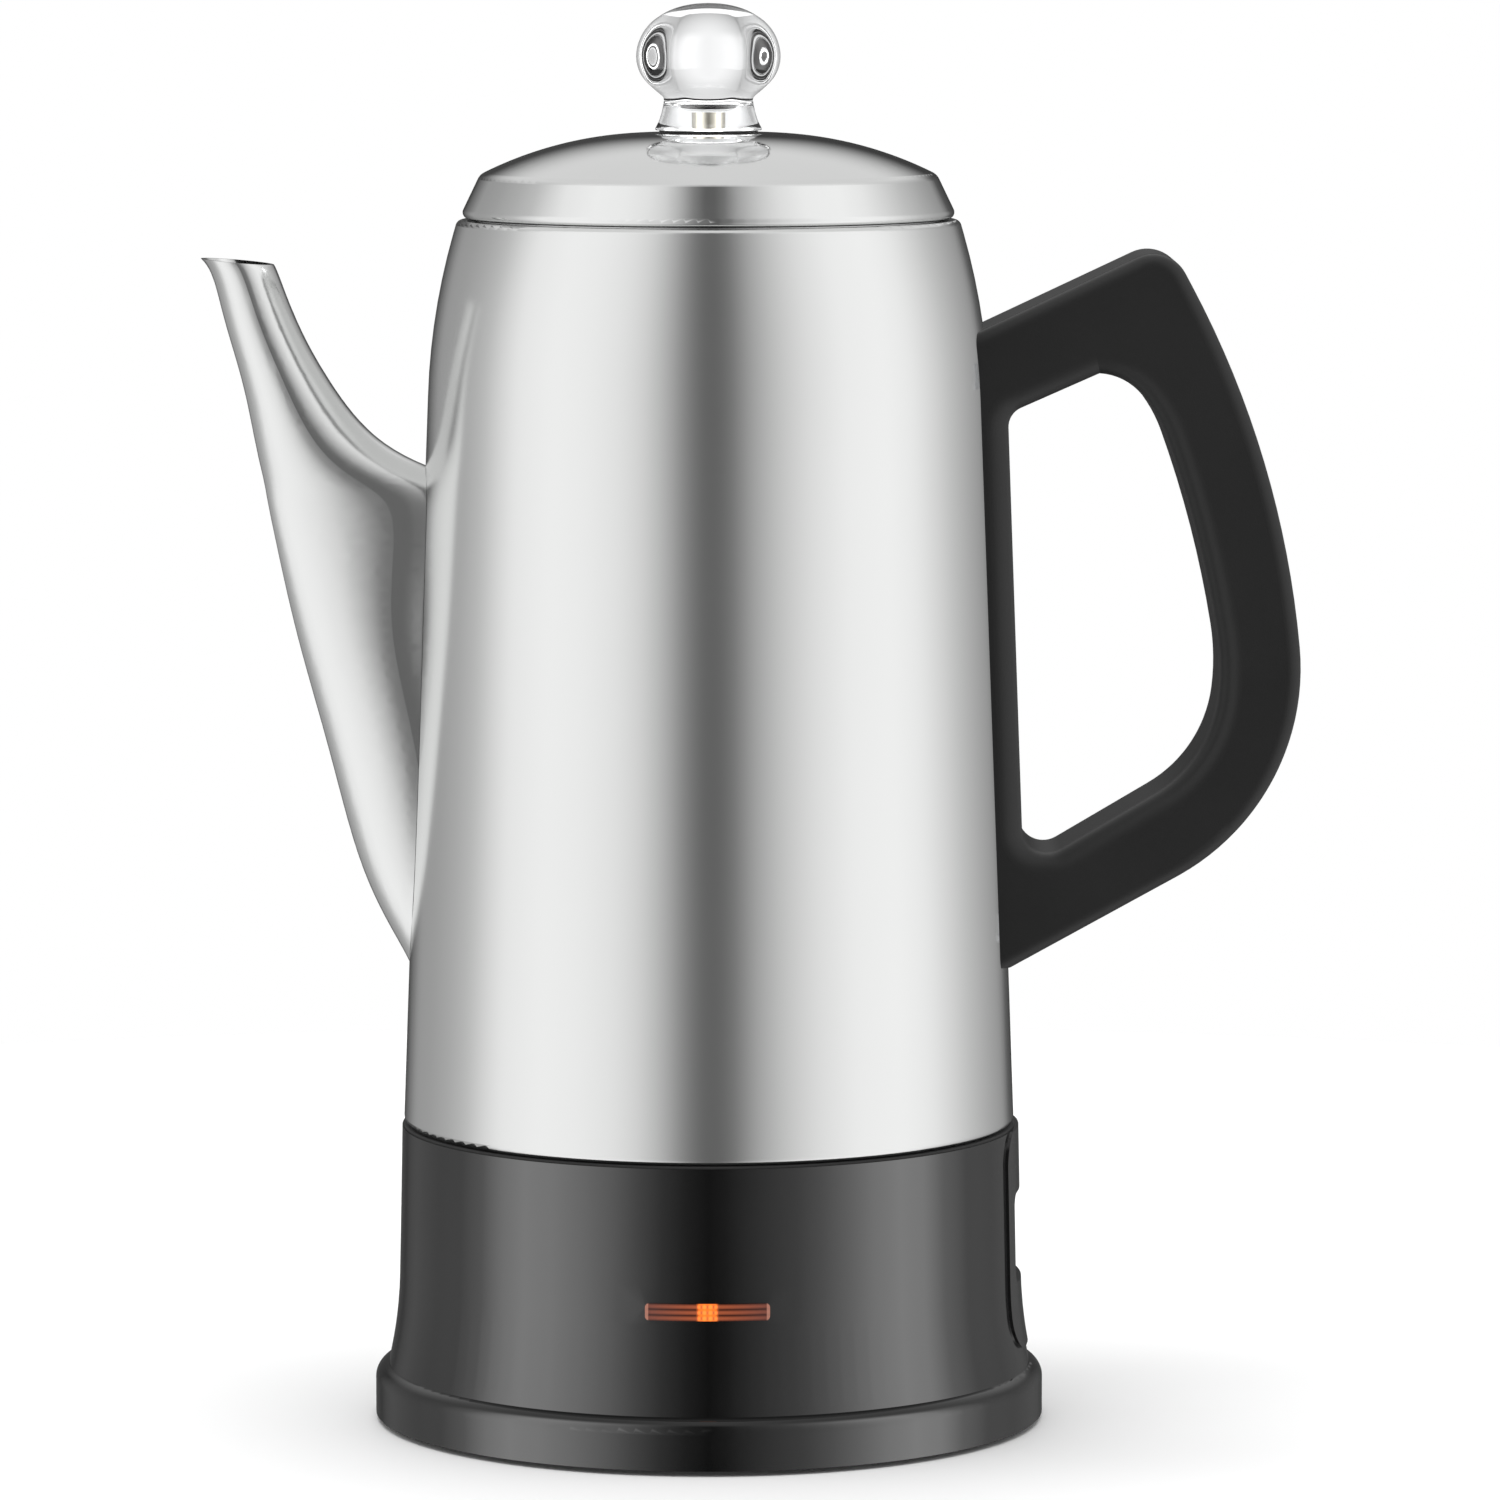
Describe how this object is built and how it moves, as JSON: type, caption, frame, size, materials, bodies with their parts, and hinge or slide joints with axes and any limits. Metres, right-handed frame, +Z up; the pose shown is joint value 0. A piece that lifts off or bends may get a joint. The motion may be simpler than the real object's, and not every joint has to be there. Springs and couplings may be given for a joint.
{
  "type": "coffee percolator",
  "caption": "Tapered steel electric percolator with a long spout, loop handle, domed lid with clear knob, pump and basket inside, and a black heating base.",
  "frame": {"origin": "centre of the base on the plane that the feet stand on", "axes": "+Z up; +X to the handle and cord inlet, -X to the spout, -Y to the indicator lens"},
  "size_m": [0.2412, 0.1482, 0.3129],
  "materials": {
    "pot_steel": "satin-polished stainless steel",
    "lid_steel": "bright polished stainless steel",
    "inner_steel": "plain stainless sheet and tube",
    "zinc_steel": "zinc-plated fasteners and sheet",
    "handle_black": "satin black moulded phenolic",
    "base_black": "high-gloss black moulding",
    "socket_black": "dull black heat-proof moulding",
    "rubber": "soft black rubber",
    "clear_knob": "clear heat-proof moulding",
    "amber_lens": "translucent amber",
    "lamp_glass": "neon lamp capsule",
    "nickel_brass": "nickel-plated brass",
    "aluminium": "cast aluminium",
    "element_sheath": "heat-tinted steel sheath",
    "mica": "mica laminate",
    "insulation": "woven glass sleeve"
  },
  "bodies": {
    "pot": {"base_cover": "socket_black", "base_gasket": "rubber", "base_housing": "base_black", "base_screws": "zinc_steel", "body_shell": "pot_steel", "centre_nut": "zinc_steel", "centre_stud": "zinc_steel", "handle_back_cover": "handle_black", "handle_grip": "handle_black", "handle_lower_bracket": "inner_steel", "handle_screws": "zinc_steel", "handle_top_cover": "handle_black", "handle_upper_bracket": "inner_steel", "heat_shield": "zinc_steel", "heat_shield_screws": "zinc_steel", "heater_body": "aluminium", "heater_element": "element_sheath", "heating_well": "inner_steel", "indicator_lamp": "lamp_glass", "indicator_lens": "amber_lens", "inlet_pin_front": "nickel_brass", "inlet_pin_rear": "nickel_brass", "inlet_screws": "zinc_steel", "inlet_socket": "socket_black", "keep_warm_band": "mica", "lamp_holder": "socket_black", "rubber_feet": "rubber", "spout": "pot_steel", "terminal_tabs": "nickel_brass", "thermal_fuse": "aluminium", "thermostat": "mica", "thermostat_clip": "zinc_steel", "vessel_floor": "inner_steel", "wiring": "insulation"},
    "pump_stem": {"pump_tube": "inner_steel", "pump_foot": "inner_steel", "valve_seat": "inner_steel", "basket_stop": "inner_steel"},
    "pump_valve": {"pump_valve": "inner_steel"},
    "basket": {"basket": "inner_steel", "basket_sleeve": "inner_steel"},
    "basket_cover": {"basket_cover": "inner_steel"},
    "lid": {"lid_shell": "lid_steel", "lid_collar": "inner_steel", "knob": "clear_knob", "knob_insert": "nickel_brass", "knob_seal": "rubber", "knob_screw": "zinc_steel"}
  },
  "joints": [
    {"name": "stem_lift", "type": "slide", "parent": "pot", "child": "pump_stem", "axis": [0, 0, 1], "range_m": [0, 0.22]},
    {"name": "valve_rise", "type": "slide", "parent": "pump_stem", "child": "pump_valve", "axis": [0, 0, 1], "range_m": [0, 0.0015]},
    {"name": "basket_lift", "type": "slide", "parent": "pump_stem", "child": "basket", "axis": [0, 0, 1], "range_m": [0, 0.08]},
    {"name": "cover_lift", "type": "slide", "parent": "basket", "child": "basket_cover", "axis": [0, 0, 1], "range_m": [0, 0.06]},
    {"name": "lid_lift", "type": "slide", "parent": "basket_cover", "child": "lid", "axis": [0, 0, 1], "range_m": [0, 0.12]}
  ]
}
